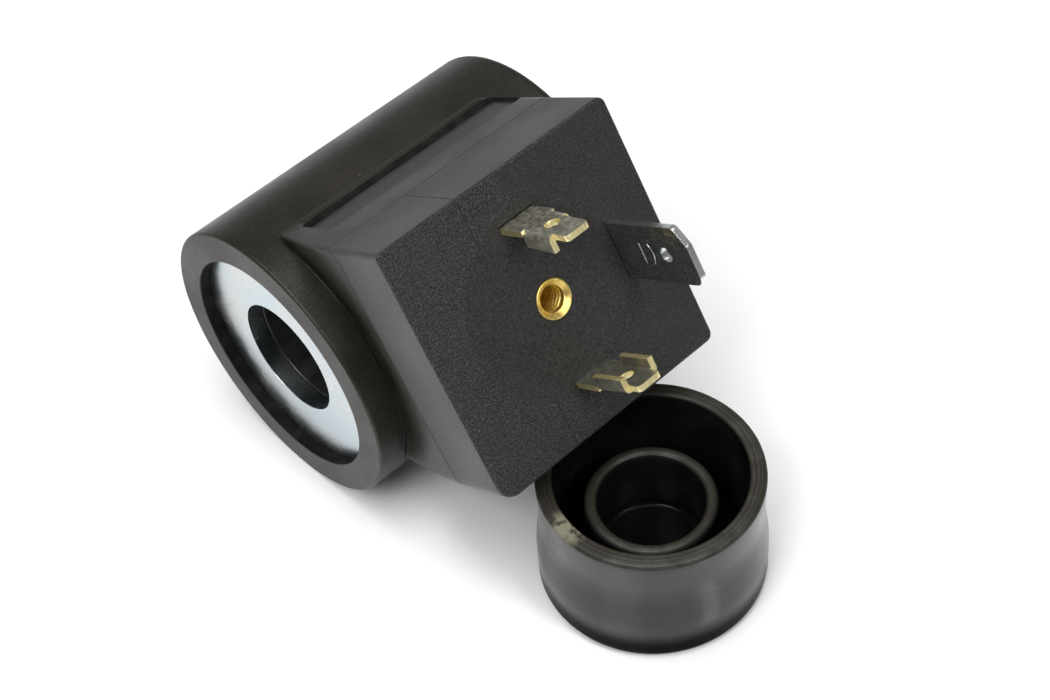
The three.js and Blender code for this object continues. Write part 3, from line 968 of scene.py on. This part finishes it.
def contact_terminal(label, side, wing_ends, depth, lean, tone):
    """Channel-shaped blade: flat tail and tip, two folded wings and a hole. wing_ends are the far
    and near wings' ends above the face, and lean tips the blade towards the insert, in degrees."""
    tip = FACE_HEIGHT + CONTACT_REACH
    inner = CONTACT_OFFSET - CONTACT_SHEET
    start = FACE_HEIGHT + WING_START
    half, narrow, tail = CONTACT_HALF_WIDTH, CONTACT_TIP_HALF_WIDTH, 1.0
    web = half - CONTACT_SHEET - 0.2
    ends = dict(zip((side, -side), wing_ends))
    flanks = []
    for sign in (1, -1):
        end = FACE_HEIGHT + ends[sign]
        flank = [(tail, SHOULDER), (half, SHOULDER), (half, start), (web, start + 0.01),
                 (web, end - 0.01), (narrow, end), (narrow, tip)]
        flanks.append([(sign * x, z) for x, z in flank])
    outline = [(-tail, TAIL_END), (tail, TAIL_END), *flanks[0], *reversed(flanks[1])]
    outline = rounded(outline, [0.5 if z == tip else 0 for x, z in outline])
    blade = raw_object(f"{label}_contact", upright(outline, inner, CONTACT_OFFSET))
    join(blade, *[contact_wing(sign, ends[sign], depth) for sign in (1, -1)])
    hole = along_y(rod(0.8, -2, 2))
    cut(blade, moved(hole, 0, CONTACT_OFFSET - CONTACT_SHEET / 2, FACE_HEIGHT + 5.7))
    soften(blade, 0.06)

    def choose(centre, normal):
        x, y, z = abs(centre.x), centre.y, centre.z - FACE_HEIGHT
        if abs(normal.z) > 0.45 or y < CONTACT_OFFSET - depth + 0.08:
            return 1
        end = ends[1 if centre.x > 0 else -1]
        in_wing = WING_START < z < end - 0.02 and x > web
        return 0 if in_wing or abs(normal.y) > 0.72 else 1

    # The faces are sorted while the blade is still straight.
    for polygon in blade.data.polygons:
        polygon.material_index = choose(polygon.center, polygon.normal)
    bend_from = FACE_HEIGHT + 0.4
    tilt = math.tan(math.radians(lean))
    for vertex in blade.data.vertices:
        rise = max(0.0, vertex.co.z - bend_from)
        vertex.co.y -= tilt * rise * min(1.0, rise / 1.5)
    half_turn = Matrix.Rotation(0 if side > 0 else math.pi, 4, "Z")
    blade.data.transform(Matrix.Translation((CONTACT_CENTRE, 0, 0)) @ half_turn)
    # For the lower blade the tin's tone is darkened as painted shade.
    faces = plated_sheet(f"tinned_{label}", tone, 0.42, shade(tone, 1.25), 0.003)
    edges = cut_edge(f"brass_edge_{label}", (1.0, 0.88, 0.48), 0.45)
    return finish_piece(blade, "coil", [f"{label}_contact_terminal"],
                        [faces, edges])


def earth_terminal():
    tip = FACE_HEIGHT + EARTH_REACH
    half, tail, bevel = EARTH_HALF_WIDTH, EARTH_HALF_WIDTH / 2, (2.0, 1.15)
    outline = [(-tail, TAIL_END), (tail, TAIL_END), (tail, SHOULDER), (half, SHOULDER),
               (half, tip - bevel[1]), (half - bevel[0], tip), (-half, tip),
               (-half, SHOULDER), (-tail, SHOULDER)]
    outline = rounded(outline, [0, 0, 0, 0, 0.7, 0.7, 1.0, 0, 0])
    blade = raw_object("earth_blade", upright(outline, -EARTH_SHEET, 0))
    quarter_turn = Matrix.Rotation(math.pi / 2, 4, "Z")
    blade.data.transform(Matrix.Translation((EARTH_OFFSET, 0, 0)) @ quarter_turn)
    hole = along_x(rod(0.77, -2, 2))
    cut(blade, moved(hole, EARTH_OFFSET + EARTH_SHEET / 2, 0.05, FACE_HEIGHT + 7.7))
    cut(blade, *tool_marks())
    soften(blade, 0.15, 3)

    def choose(centre, normal):
        return 0 if abs(normal.x) > 0.8 else 1

    faces = plated_sheet("earth_zinc", (0.60, 0.64, 0.66), 0.2, (0.52, 0.56, 0.58), 0.008)
    edges = cut_edge("earth_edge", (0.86, 0.89, 0.92), 0.25)
    return finish_piece(blade, "coil", ["earth_terminal"],
                        [faces, edges], choose)


def tool_marks():
    """Two shallow nicks that a forming tool left on the earth blade's inner face."""
    depth, width = 0.05, 0.12
    half, base, bow = 1.1, FACE_HEIGHT + 3.95, 0.36
    marks = []
    for height, rise in ((base, 0.0), (base + 1.3, bow)):
        steps = 8
        line = []
        for step in range(steps + 1):
            y = half * (2 * step / steps - 1)
            line.append((y, height + rise * (1 - (y / half) ** 2)))
        outline = [(y, z) for y, z in line] + [(y, z + width) for y, z in reversed(line)]
        marks.append(loft([[(x, y, z) for y, z in outline]
                           for x in (EARTH_OFFSET - OVERSHOOT, EARTH_OFFSET + depth)]))
    return marks


# ---- Insert, washers, bobbin ----

def threaded_insert():
    """Brass insert with a real M3 thread, a bevelled mouth and a closed foot."""
    pitch, minor, depth, mouth = 0.5, 1.38, 0.15, 1.84
    foot, top = FACE_HEIGHT - INSERT_LENGTH, FACE_HEIGHT + 0.02
    thread_from, thread_to = foot + 1, top - 0.42
    rows_per_turn = 8
    rows = round((thread_to - thread_from) / pitch * rows_per_turn)
    loops = []

    angles = [2 * math.pi * index / FINE for index in range(FINE)]
    core = 0.4

    def circle(radius, height):
        return [(radius * math.cos(angle), radius * math.sin(angle), height) for angle in angles]

    loops.append(circle(core, foot))
    loops += [circle(INSERT_RADIUS - 0.1, foot), circle(INSERT_RADIUS, foot + 0.1)]
    loops += [circle(INSERT_RADIUS, top - 0.08), circle(INSERT_RADIUS - 0.08, top)]
    loops += [circle(mouth + 0.06, top), circle(mouth, top - 0.05)]
    for row in range(rows + 1):
        height = thread_to - (thread_to - thread_from) * row / rows
        fade = ease((thread_to - height - 0.2) / 0.5)
        loop = []
        for index, angle in enumerate(angles):
            phase = (height / pitch - index / FINE) % 1.0
            groove = max(0.0, 1 - abs(phase - 0.5) / 0.42)
            radius = minor + depth * groove * fade
            loop.append((radius * math.cos(angle), radius * math.sin(angle), height))
        loops.append(loop)
    loops.append(circle(core, thread_from))
    piece = raw_object("brass_insert", loft(loops))
    return finish_piece(piece, "coil", ["threaded_insert"],
                        [turned_brass()], sharp=50)


def pole_washers():
    material = zinc_washer()
    near_from = NEAR_END + RECESS_DEPTH
    far_to = FAR_END - RECESS_DEPTH
    for name, low, node in (("near_washer", near_from, "near_pole_washer"),
                            ("far_washer", far_to - WASHER_THICKNESS, "far_pole_washer")):
        profile = ring_profile(BORE_RADIUS, WASHER_RADIUS, low, low + WASHER_THICKNESS,
                               [0.08, 0.1, 0.1, 0.08])
        piece = raw_object(name, along_x(turned(profile)))
        finish_piece(piece, "coil", [node], [material])


def smooth_bobbin():
    """Spool whose tube is the wall of the bore, its two flanges against the washers."""
    clearance = 0.05
    low = NEAR_END + RECESS_DEPTH + WASHER_THICKNESS + clearance
    high = FAR_END - RECESS_DEPTH - WASHER_THICKNESS - clearance
    hub, flange, thick = BORE_RADIUS + 0.85, 11.75, 1.1 + 0.2
    profile = rounded([
        (BORE_RADIUS + 0.02, low), (flange, low), (flange, low + thick), (hub, low + thick),
        (hub, high - thick), (flange, high - thick), (flange, high), (BORE_RADIUS + 0.02, high),
    ], [0.25, 0.2, 0.2, 0.2, 0.2, 0.2, 0.2, 0.25], 3)
    piece = raw_object("bobbin_tube", along_x(turned(profile)))
    return finish_piece(piece, "coil", ["bobbin"], [nylon_bore()])


# ---- Retaining cap ----

def retaining_cap():
    height, rim, body, waist, mouth = 15.4, 11.45, 11.82, 11.27, 9.75
    boss, well = 6.8, 5.4
    floor, boss_top, well_floor = 2.0, 11.0, 2.8
    profile = rounded([
        (0, 0), (body, 0), (body, 5.2), (waist, 10.0), (rim - 0.04, 14.2),
        (rim, height), (mouth, height), (mouth - 0.2, floor), (boss + 0.1, floor),
        (boss, boss_top), (well, boss_top), (well, well_floor), (0, well_floor),
    ], [0, 1.3, 16, 22, 6, 0.5, 0.3, 1.0, 0.6, 0.7, 0.65, 0.6, 0], 9, closed=False)
    piece = raw_object("cap_shell", turned(profile, 160, False))

    def choose(centre, normal):
        radius = math.hypot(centre.x, centre.y)
        on_rim = centre.z > height - 0.45 and radius > mouth - 0.05
        on_boss = centre.z > boss_top - 0.25 and well - 0.1 < radius < boss + 0.1
        return 1 if on_rim or on_boss else 0

    return finish_piece(piece, "cap", ["retaining_cap"],
                        [cap_gloss(), cap_rim()], choose, sharp=60)


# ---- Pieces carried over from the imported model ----

def carried_over():
    """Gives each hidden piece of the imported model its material."""
    steel = inner_metal("tube_steel", (0.42, 0.43, 0.44), 0.4, 1.5)
    copper = wound_copper()
    finishes = {"flux_tube": steel, "earth_strap": steel, "winding": copper, "winding_tape": tape()}
    sleeve = sleeving()
    solder = inner_metal("solder", (0.7, 0.71, 0.73), 0.25, 1.0)
    for side in ("upper", "lower"):
        finishes[f"{side}_lead_wire"] = copper
        finishes[f"{side}_lead_sleeve"] = sleeve
        finishes[f"{side}_solder_joint"] = solder
    for node, material in finishes.items():
        piece = frame["nodes"][node]
        piece.data.materials.clear()
        piece.data.materials.append(material)


# ---- Surroundings ----

def pale_floor():
    half, steps = 1.5, 8
    points, faces = [], []
    for row in range(steps + 1):
        for column in range(steps + 1):
            points.append((half * (2 * column / steps - 1), half * (2 * row / steps - 1), 0))
    for row in range(steps):
        for column in range(steps):
            corner = row * (steps + 1) + column
            faces.append((corner, corner + 1, corner + steps + 2, corner + steps + 1))
    mesh = bpy.data.meshes.new("floor")
    mesh.from_pydata(points, [], faces)
    floor = bpy.data.objects.new("floor", mesh)
    bpy.context.scene.collection.objects.link(floor)
    material = bpy.data.materials.new("floor")
    material.use_nodes = True
    shader = material.node_tree.nodes["Principled BSDF"]
    set_inputs(shader, {"Base Color": (0.93, 0.93, 0.93, 1), "Roughness": 0.12})
    mesh.materials.append(material)


def soft_surroundings():
    """White room light, dimmer on the side where the photographer stands."""
    world = bpy.data.worlds.new("studio")
    bpy.context.scene.world = world
    world.use_nodes = True
    nodes, links = world.node_tree.nodes, world.node_tree.links
    background = nodes["Background"]
    where = nodes.new("ShaderNodeTexCoord")
    toward = nodes.new("ShaderNodeVectorMath")
    toward.operation = "DOT_PRODUCT"
    toward.inputs[1].default_value = Vector((-0.25, -0.95, 0.15)).normalized()
    links.new(where.outputs["Generated"], toward.inputs[0])
    dim = nodes.new("ShaderNodeMapRange")
    dim.interpolation_type = "SMOOTHSTEP"
    set_inputs(dim, {"From Min": -0.2, "From Max": 0.95, "To Min": 0.24, "To Max": 0.16})
    links.new(toward.outputs["Value"], dim.inputs["Value"])
    links.new(dim.outputs["Result"], background.inputs["Strength"])
    background.inputs["Color"].default_value = (1.0, 1.0, 1.0, 1)


def softbox(name, place, side, power):
    """A square lamp turned towards the object."""
    target = Vector((0, 0, 0.02))
    light = bpy.data.lights.new(name, "AREA")
    light.shape = "RECTANGLE"
    light.size = side
    light.size_y = side
    light.energy = power
    lamp = bpy.data.objects.new(name, light)
    lamp.location = place
    lamp.rotation_euler = (target - Vector(place)).to_track_quat("-Z", "Y").to_euler()
    bpy.context.scene.collection.objects.link(lamp)


def camera():
    place = Vector((-0.086058, -0.105745, 0.174410))
    ahead = Vector((0.41477, 0.50269, -0.75846)).normalized()
    up = Vector((0.55614, 0.51968, 0.64856))
    right = ahead.cross(up).normalized()
    up = right.cross(ahead)
    data = bpy.data.cameras.new("camera")
    data.lens = 69.5
    data.sensor_width = 36
    data.clip_start, data.clip_end = 0.01, 10
    eye = bpy.data.objects.new("camera", data)
    eye.matrix_world = Matrix((
        (right.x, up.x, -ahead.x, place.x),
        (right.y, up.y, -ahead.y, place.y),
        (right.z, up.z, -ahead.z, place.z),
        (0, 0, 0, 1),
    ))
    bpy.context.scene.collection.objects.link(eye)
    bpy.context.scene.camera = eye


coil_encapsulation()
connector_head()
contact_terminal("upper", 1, (5.4, 7.5), 1.7, 5.0, (0.60, 0.585, 0.48))
# The lower blade's tin is given a darker tone than the upper one's: painted shade.
contact_terminal("lower", -1, (8.0, 8.0), 1.75, 3.0, (0.36, 0.35, 0.29))
earth_terminal()
threaded_insert()
pole_washers()
smooth_bobbin()
retaining_cap()
carried_over()
pale_floor()
soft_surroundings()
softbox("left_lamp", (-0.62, -0.18, 0.80), 0.4, 4.5)
softbox("right_lamp", (0.09, -0.71, 0.76), 0.22, 3.5)
softbox("overhead", (-0.1, 0.1, 1.1), 1.0, 10.5)
camera()
bpy.context.scene.view_settings.view_transform = "Standard"
